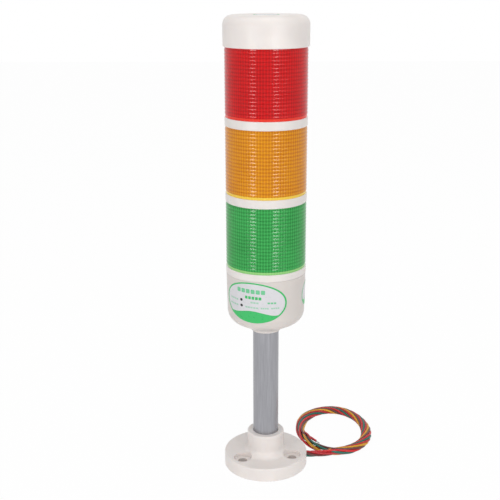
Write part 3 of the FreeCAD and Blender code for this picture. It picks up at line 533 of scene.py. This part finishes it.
def label_edge(arc, half, upper):
    """The height of the label's ellipse at an arc length."""
    a, b = half
    dx = arc - LABEL_ARC
    c, s = cos(LABEL_TILT), sin(LABEL_TILT)
    qa = (s / a) ** 2 + (c / b) ** 2
    qb = 2 * dx * c * s * (1 / a**2 - 1 / b**2)
    qc = (dx * c / a) ** 2 + (dx * s / b) ** 2 - 1
    root = sqrt(max(0.0, qb * qb - 4 * qa * qc))
    return LABEL_Z + (-qb + (root if upper else -root)) / (2 * qa)


print_lift = LABEL_THICKNESS + PRINT_LIFT
outer = ellipse_points((LABEL_ARC, LABEL_Z), *LABEL_HALF, LABEL_TILT, 160)
inner = ellipse_points((LABEL_ARC, LABEL_Z), *INNER_HALF, LABEL_TILT, 160)
print_strip("front_print_border", list(zip(inner, outer)), 2, print_green, print_lift)

WAVE = [(-30.5, 115.0), (-23.7, 113.8), (-20.4, 114.0), (-15.0, 115.1), (-10.8, 115.8), (-7.4, 115.8)]
WAVE += [(-4.1, 115.3), (-0.9, 114.6), (2.2, 113.8), (5.4, 113.3), (7.9, 113.4), (13.5, 115.2)]
FIELD_HALF = INNER_HALF[0] * 0.999
field = []
for i in range(121):
    arc = LABEL_ARC - FIELD_HALF + 2 * FIELD_HALF * i / 120
    low = label_edge(arc, INNER_HALF, False)
    high = smooth_line(WAVE, arc)
    if high > low + 0.02:
        field.append(((arc, low - 0.1), (arc, high)))
print_strip("front_print_field", field, 6, print_green, print_lift + 0.01)


def print_block(name, arc_low, arc_high, z, height, rounding, material):
    """A plain printed block with rounded corners."""
    columns = []
    half = height / 2
    count = 14
    for i in range(count + 1):
        x = -cos(pi * i / count)
        arc = (arc_low + arc_high) / 2 + x * (arc_high - arc_low) / 2
        end = min(arc - arc_low, arc_high - arc)
        short = rounding - sqrt(max(0.0, rounding**2 - (rounding - end) ** 2)) if end < rounding else 0.0
        slant = sin(LABEL_TILT) * (arc - LABEL_ARC)
        columns.append(((arc, z + slant - half + short), (arc, z + slant + half - short)))
    return print_strip(name, columns, 2, material, print_lift)


# rows of plain blocks: start and end of the arc, height above the floor, block height, count, material
ROWS = [
    (-19.2, 0.2, 128.6, 2.7, 6, print_pale_green),
    (-13.4, -2.3, 124.5, 1.9, 5, print_green),
    (-25.9, -18.4, 121.7, 1.0, 4, print_faint_green),
    (-26.2, -18.4, 118.1, 1.0, 4, print_faint_green),
    (-9.7, -4.1, 121.5, 1.1, 3, print_faint_green),
    (1.0, 6.8, 121.8, 1.1, 3, print_pale_green),
    (-13.3, -4.4, 118.2, 1.0, 5, print_faint_green),
    (-3.2, 2.0, 118.3, 1.0, 4, print_faint_green),
    (3.2, 8.7, 118.4, 1.0, 4, print_faint_green),
]
BLOCK_SHARE, BLOCK_ROUNDING = 0.78, 0.16
for row, (start, end, z, height, blocks, ink) in enumerate(ROWS, 1):
    step = (end - start) / blocks
    for block in range(blocks):
        left = start + block * step
        right_end = left + BLOCK_SHARE * step
        name = f"front_print_row_{row}_{block + 1}"
        print_block(name, left, right_end, z, height, BLOCK_ROUNDING * height, ink)
DOT_HALF, DOT_HEIGHT, DOT_ROUNDING = 0.95, 1.75, 0.87
for number, (arc, z) in enumerate(((-16.2, 122.2), (-16.1, 118.5)), 1):
    name = f"front_print_dot_{number}"
    print_block(name, arc - DOT_HALF, arc + DOT_HALF, z, DOT_HEIGHT, DOT_ROUNDING, print_black)

SIDE_ARC = radians(83.0) * BOWL_MEAN_RADIUS
SIDE_Z = BODY_FOOT + 26.2
SIDE_RADIUS = 7.9
SIDE_BORDER = 0.8
side_outer = ellipse_points((SIDE_ARC, SIDE_Z), SIDE_RADIUS, SIDE_RADIUS, 0.0, 80)
INNER_RADIUS = SIDE_RADIUS - SIDE_BORDER
side_inner = ellipse_points((SIDE_ARC, SIDE_Z), INNER_RADIUS, INNER_RADIUS, 0.0, 80)
print_strip("side_print_border", list(zip(side_inner, side_outer)), 1, print_green, print_lift)
FIELD_RADIUS = SIDE_RADIUS - 0.75
crescent = []
for i in range(61):
    x = FIELD_RADIUS * cos(pi + pi * i / 60)
    low = -sqrt(max(0.0, FIELD_RADIUS**2 - x * x))
    high = -3.6 + 0.5 * sin(x * 0.7)
    if high > low + 0.02:
        crescent.append(((SIDE_ARC + x, SIDE_Z + low), (SIDE_ARC + x, SIDE_Z + high)))
print_strip("side_print_field", crescent, 3, print_green, print_lift)


def on_cap(x, y, lift):
    return (x, y, cap_label_top + lift)


CAP_PRINT_RADIUS = 7.85
cap_label_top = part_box("cap_label")[1].z / MM
cap_ring = []
for i in range(121):
    angle = radians(158.0 + 224.0 * i / 120)
    side = abs(cos(angle)) ** 3
    ripple = 0.7 * (1 - side) * max(0.0, cos(5 * (angle - 1.5 * pi))) ** 2
    inside = CAP_PRINT_RADIUS - 0.45 - 0.75 * side - ripple
    cap_ring.append([(r * cos(angle), r * sin(angle)) for r in (inside, CAP_PRINT_RADIUS)])
print_strip("cap_print_edge", cap_ring, 1, print_green, PRINT_LIFT, on_cap)


# ---------------------------------------------------------------- wires

WIRE_RADIUS = 0.8
EXIT = (27.13, 3.81, 3.2)
COIL_HEIGHT = 2.5
LOOP_PLAN = [(48.0, 8.6), (56.0, 10.0), (63.5, 15.5), (69.0, 23.5), (71.4, 33.0), (71.4, 43.0)]
LOOP_PLAN += [(69.2, 52.5), (64.6, 61.5), (57.2, 68.6), (48.4, 70.8), (39.6, 68.6), (32.0, 62.5)]
LOOP_PLAN += [(26.8, 54.0), (24.6, 44.0), (25.2, 34.0), (28.4, 24.8), (33.6, 16.6), (40.4, 10.6)]
LOOP = [(x, y, COIL_HEIGHT) for x, y in LOOP_PLAN]
INSIDE_POLE = [(0.0, 0.0, z) for z in (115.6, 90.0, 60.0, 30.0, 12.0, 3.2)]
NOTCH_RUN = [(7.9, 1.1, 3.2), (17.8, 2.5, 3.2), EXIT]
LEAD = [(32.5, 4.2, 2.8), (39.5, 5.6, 2.5)]
TAIL = [(29.2, 26.6, 3.2), (32.4, 19.8, 3.2), (37.0, 14.8, 3.0)]
ROUTE = INSIDE_POLE + NOTCH_RUN + LEAD + LOOP + LOOP[:-3] + TAIL
FIRST_LOOP = len(INSIDE_POLE) + len(NOTCH_RUN) + len(LEAD)
PER_LOOP = len(LOOP)
SAMPLES_PER_SPAN = 24


def nurbs_points(name, route):
    """Points along the smooth NURBS line of a route, in mm."""
    curve = bpy.data.curves.new(name, "CURVE")
    curve.dimensions = "3D"
    curve.resolution_u = SAMPLES_PER_SPAN
    spline = curve.splines.new("NURBS")
    spline.points.add(len(route) - 1)
    for point, place in zip(spline.points, route):
        point.co = (*mm(*place), 1.0)
    spline.order_u = 3
    spline.use_endpoint_u = True
    carrier = bpy.data.objects.new(name, curve)
    scene.collection.objects.link(carrier)
    bpy.context.view_layer.update()
    mesh = bpy.data.meshes.new_from_object(carrier.evaluated_get(bpy.context.evaluated_depsgraph_get()))
    points = np.array([v.co for v in mesh.vertices]) / MM
    bpy.data.meshes.remove(mesh)
    bpy.data.objects.remove(carrier)
    bpy.data.curves.remove(curve)
    return points


centre = nurbs_points("wire_route", ROUTE)
spans = len(ROUTE) - 2
knot = np.linspace(0, spans, len(centre))
heading = np.gradient(centre, axis=0)
heading /= np.linalg.norm(heading, axis=1)[:, None]
travelled = np.concatenate([[0], np.cumsum(np.linalg.norm(np.diff(centre, axis=0), axis=1))])
print("route", len(centre), "points", round(travelled[-1], 1), "mm")


def eased(value, low, high):
    """0 below low, 1 above high, and a smooth step between."""
    t = np.clip((value - low) / (high - low), 0, 1)
    return t * t * (3 - 2 * t)


# side is level and square to the route; above is square to both; inside the pole the route is upright
side = np.cross(heading, [0.0, 0.0, 1.0])
inside = np.linalg.norm(side, axis=1) < 0.5
side[inside] = (0.0, -1.0, 0.0)
side /= np.linalg.norm(side, axis=1)[:, None]
above = np.cross(side, heading)

TWISTS_PER_LOOP = -2.5
TWIST_START = 0.6
HELIX_RADIUS = 1.36
COIL_SIDE = 2.9
COIL_RISE = 1.7
SINGLE_SIDE = 2.2
TAIL_SIDE = 1.8
SINGLE_SHIFT = 0.9
loop_knot = FIRST_LOOP - 0.5
settled = eased(knot, loop_knot - 1.5, loop_knot + 1.5)
ring_phase = 2 * pi * (knot - loop_knot) / PER_LOOP
uneven = 1 + 0.08 * np.sin(2 * ring_phase + 0.6) + 0.05 * np.sin(5 * ring_phase)
half_side = HELIX_RADIUS + (COIL_SIDE * uneven - HELIX_RADIUS) * settled
half_rise = HELIX_RADIUS + (COIL_RISE - HELIX_RADIUS) * settled
# the bundle draws together where only one turn lies at the front left, and again in the tail
single = eased(knot, FIRST_LOOP + PER_LOOP - 5.5, FIRST_LOOP + PER_LOOP - 3.0)
single = single * (1 - eased(knot, FIRST_LOOP + PER_LOOP - 1.5, FIRST_LOOP + PER_LOOP + 1.0))
tail = eased(knot, spans - 5.0, spans - 2.0)
half_side = half_side + (SINGLE_SIDE - half_side) * single
half_side = half_side + (TAIL_SIDE - half_side) * tail
centre = centre + side * (SINGLE_SHIFT * single)[:, None]
wander = 0.35 * np.sin(ring_phase + 1.0) + 0.2 * np.sin(3 * ring_phase)
twist = TWISTS_PER_LOOP * ring_phase + wander + TWIST_START


def even_angle(angle, a, b):
    """The ellipse's own angle that shares its rim out evenly."""
    table = np.linspace(0, 2 * pi, 721)
    out = np.empty_like(angle)
    for k in range(len(angle)):
        step = np.sqrt((a[k] * np.sin(table)) ** 2 + (b[k] * np.cos(table)) ** 2)
        run = np.concatenate([[0], np.cumsum((step[1:] + step[:-1]) / 2)])
        out[k] = np.interp(angle[k] % (2 * pi), run / run[-1] * 2 * pi, table)
    return out


def strand_path(index):
    """One wire's path: it winds round the bundle's flat oval as the bundle twists."""
    phase = twist + 2 * pi * index / len(WIRES)
    angle = even_angle(phase, half_side, half_rise)
    sideways = side * (half_side * np.cos(angle))[:, None]
    upwards = above * (half_rise * np.sin(angle))[:, None]
    return centre + sideways + upwards


def tube_mesh(name, path, radius, material, around=12):
    """A round tube along points, with its frame carried along so that it doesn't twist."""
    along = np.gradient(path, axis=0)
    along /= np.linalg.norm(along, axis=1)[:, None]
    normal = np.cross(along[0], [0.0, 0.0, 1.0] if abs(along[0][2]) < 0.9 else [0.0, 1.0, 0.0])
    normal /= np.linalg.norm(normal)
    points = []
    radii = np.broadcast_to(radius, len(path))
    for k in range(len(path)):
        normal = normal - along[k] * normal.dot(along[k])
        normal /= np.linalg.norm(normal)
        other = np.cross(along[k], normal)
        for i in range(around):
            a = 2 * pi * i / around
            points.append(path[k] + (normal * cos(a) + other * sin(a)) * radii[k])
    faces = ring_faces(len(path), around)
    faces.append(tuple(reversed(range(around))))
    faces.append(tuple(range((len(path) - 1) * around, len(path) * around)))
    return add_mesh(name, points, faces, material, 60.0)


exit_knot = len(INSIDE_POLE) + len(NOTCH_RUN) - 1.5
WIRES = [("red", 0.1), ("yellow", 1.15), ("green", 0.75), ("brown", 0.2), ("crimson", 0.45)]
TIP_LENGTH = 3.6
cords = []
for index, (colour, shorter) in enumerate(WIRES):
    path = strand_path(index)
    leaves = int(np.searchsorted(knot, exit_knot))
    end = int(np.searchsorted(knot, spans - 0.25 - shorter))
    inner_path = path[: leaves + 1 : 2]
    tube_mesh(f"pole_wire_{colour}", inner_path, WIRE_RADIUS, wire_materials[colour])
    outer_path = path[leaves : end + 1]
    cord = tube_mesh(f"wire_{colour}", outer_path[::2], WIRE_RADIUS, wire_materials[colour])
    # the stripped and tinned end
    last = outer_path[-1]
    ahead_there = outer_path[-1] - outer_path[-4]
    ahead_there /= np.linalg.norm(ahead_there)
    tip_path = np.array([last + ahead_there * d for d in np.linspace(-0.4, TIP_LENGTH, 12)])
    tip = tube_mesh(f"wire_end_{colour}", tip_path, np.linspace(0.42, 0.34, 12), steel)
    cords.append((cord, tip, outer_path[::2]))
    steps = np.linalg.norm(np.diff(outer_path, axis=0), axis=1)
    print(colour, "length", round(float(np.sum(steps)), 1))
for name in ("wire_lead", "wire_coil"):
    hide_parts(name)
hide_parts("pole_wires")
for cord, tip, path in cords:
    [mm(*p) for p in path]


# ---------------------------------------------------------------- floor, world and lamps


FLOOR_GLOW_SHARE = 0.97


def pale_floor():
    """A nearly white floor for the camera, gloss and clear plastic, that keeps a little of the shadow."""
    graph = Graph("floor")
    graph.set(Base_Color=(0.97, 0.97, 0.97, 1), Roughness=0.9)
    rays = graph.add("ShaderNodeLightPath").outputs
    through = graph.maths("ADD", rays["Is Glossy Ray"], rays["Is Transmission Ray"])
    seen = graph.maths("MINIMUM", graph.maths("ADD", rays["Is Camera Ray"], through), 1.0)
    share = graph.maths("MULTIPLY", seen, FLOOR_GLOW_SHARE)
    glow = graph.add("ShaderNodeEmission")
    glow.inputs["Color"].default_value = (1, 1, 1, 1)
    glow.inputs["Strength"].default_value = 1.0
    mix = graph.add("ShaderNodeMixShader")
    graph.link(share, mix.inputs["Fac"])
    graph.link(graph.shader.outputs[0], mix.inputs[1])
    graph.link(glow.outputs[0], mix.inputs[2])
    graph.link(mix.outputs[0], graph.output.inputs["Surface"])
    return graph.material


FLOOR_HALF = 3.0
FLOOR_DROP = -0.0002
floor_mesh = bpy.data.meshes.new("floor")
corners = [(x * FLOOR_HALF, y * FLOOR_HALF, 0) for x, y in ((-1, -1), (1, -1), (1, 1), (-1, 1))]
floor_mesh.from_pydata(corners, [], [(0, 1, 2, 3)])
floor_mesh.materials.append(pale_floor())
floor = bpy.data.objects.new("floor", floor_mesh)
floor.location.z = FLOOR_DROP
scene.collection.objects.link(floor)


def studio_world():
    """Even light for surfaces, and a white background for the camera, gloss and clear plastic."""
    world = bpy.data.worlds.new("studio")
    scene.world = world
    world.use_nodes = True
    tree = world.node_tree

    def maths(operation, *values):
        node = tree.nodes.new("ShaderNodeMath")
        node.operation = operation
        for socket, value in zip(node.inputs, values):
            if isinstance(value, (int, float)):
                socket.default_value = value
            else:
                tree.links.new(value, socket)
        return node.outputs[0]

    def shade(strength):
        node = tree.nodes.new("ShaderNodeBackground")
        node.inputs["Color"].default_value = (1.0, 1.0, 1.0, 1.0)
        node.inputs["Strength"].default_value = strength
        return node.outputs[0]

    def mix(share, first, second):
        node = tree.nodes.new("ShaderNodeMixShader")
        tree.links.new(share, node.inputs["Fac"])
        tree.links.new(first, node.inputs[1])
        tree.links.new(second, node.inputs[2])
        return node.outputs[0]

    rays = tree.nodes.new("ShaderNodeLightPath").outputs
    through = maths("ADD", rays["Is Glossy Ray"], rays["Is Transmission Ray"])
    seen = maths("MINIMUM", maths("ADD", rays["Is Camera Ray"], through), 1.0)
    result = mix(seen, shade(AMBIENT), shade(1.0))
    tree.links.new(result, tree.nodes["World Output"].inputs["Surface"])


AMBIENT = 0.47
LAMP_AIM = (0.0, 0.0, 0.15)
studio_world()


def area_lamp(name, azimuth, elevation, distance, size, power):
    """A soft box at an angle round from the front, facing the object."""
    data = bpy.data.lights.new(name, "AREA")
    data.shape = "RECTANGLE"
    data.size, data.size_y = size
    data.energy = power
    lamp = bpy.data.objects.new(name, data)
    a, e = radians(azimuth), radians(elevation)
    target = Vector(LAMP_AIM)
    lamp.location = target + Vector((sin(a) * cos(e), -cos(a) * cos(e), sin(e))) * distance
    lamp.rotation_euler = (target - lamp.location).to_track_quat("-Z", "Y").to_euler()
    scene.collection.objects.link(lamp)


# name, degrees to the right of the front, degrees up, width and height in metres, watts
LAMP_DISTANCE = 1.3
LAMPS = [
    ("left_soft_box", -36, 4, (0.34, 0.26), 2.9),
    ("right_soft_box", 27, 4, (0.36, 0.26), 2.9),
    ("right_strip", 48, 4, (0.50, 0.10), 0.55),
    ("left_strip", -50, 4, (0.25, 0.10), 0.25),
    ("top_soft_box", 0, 80, (1.2, 1.2), 7.5),
]
for name, azimuth, elevation, size, power in LAMPS:
    area_lamp(name, azimuth, elevation, LAMP_DISTANCE, size, power)

scene.view_settings.view_transform = "Standard"
